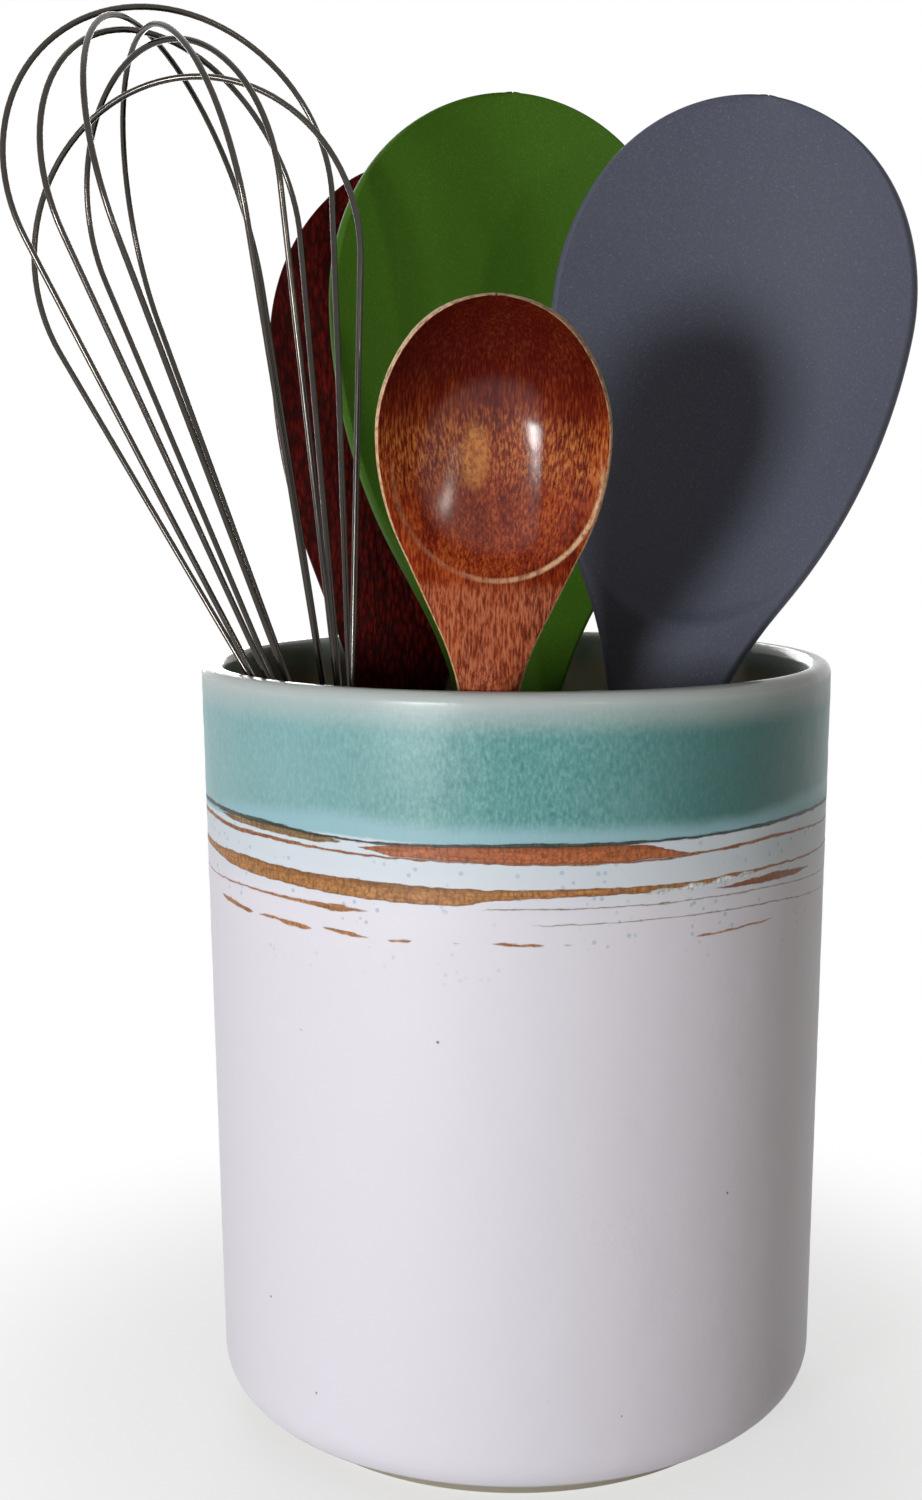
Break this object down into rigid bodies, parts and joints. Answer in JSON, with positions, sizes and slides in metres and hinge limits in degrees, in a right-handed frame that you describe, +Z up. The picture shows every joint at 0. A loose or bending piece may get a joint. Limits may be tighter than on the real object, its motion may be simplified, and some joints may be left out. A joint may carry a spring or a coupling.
{
  "type": "utensil crock",
  "caption": "Straight-sided glazed stoneware crock on a low flat foot, holding kitchen utensils that lift out: spoons and a balloon whisk.",
  "frame": {"origin": "centre of the flat foot that the crock stands on", "axes": "+Z up through the crock's mouth, -Y to the front, +X to the right seen from the front"},
  "size_m": [0.1832, 0.1521, 0.3083],
  "materials": {
    "glaze": "glossy white glaze with a mottled teal band and brown and ochre lines under the rim",
    "red_wood": "lacquered red-brown hardwood with fine straight grain",
    "dark_wood": "oiled dark red-brown hardwood",
    "green_silicone": "matte moulded silicone",
    "grey_silicone": "matte moulded silicone, lightly speckled",
    "core_nylon": "glass-filled nylon bar, hidden",
    "plug_resin": "cast resin plug",
    "steel": "polished stainless steel wire and tube"
  },
  "bodies": {
    "crock": {"crock_body": "glaze"},
    "small_wooden_spoon": {"small_wooden_spoon": "red_wood"},
    "dark_wooden_spoon": {"dark_wooden_spoon": "dark_wood"},
    "green_spoon": {"green_spoon_silicone": "green_silicone", "green_spoon_core": "core_nylon"},
    "grey_spoon": {"grey_spoon_silicone": "grey_silicone", "grey_spoon_core": "core_nylon"},
    "whisk": {"whisk_handle": "steel", "whisk_plug": "plug_resin", "whisk_end_cap": "steel", "whisk_hanging_ring": "steel", "whisk_wire_1": "steel", "whisk_wire_2": "steel", "whisk_wire_3": "steel", "whisk_wire_4": "steel", "whisk_wire_5": "steel", "whisk_wire_6": "steel"}
  },
  "joints": [
    {"name": "whisk_lift", "type": "slide", "parent": "crock", "child": "whisk", "axis": [-0.2446, 0.1134, 0.963], "range_m": [0, 0.172]},
    {"name": "small_spoon_lift", "type": "slide", "parent": "crock", "child": "small_wooden_spoon", "axis": [0.025, -0.2579, 0.9658], "range_m": [0, 0.172]},
    {"name": "dark_spoon_lift", "type": "slide", "parent": "crock", "child": "dark_wooden_spoon", "axis": [0.0044, 0.0843, 0.9964], "range_m": [0, 0.172]},
    {"name": "green_spoon_lift", "type": "slide", "parent": "crock", "child": "green_spoon", "axis": [0.0016, 0.0839, 0.9965], "range_m": [0, 0.172]},
    {"name": "grey_spoon_lift", "type": "slide", "parent": "crock", "child": "grey_spoon", "axis": [0.1604, -0.0082, 0.987], "range_m": [0, 0.172]}
  ]
}
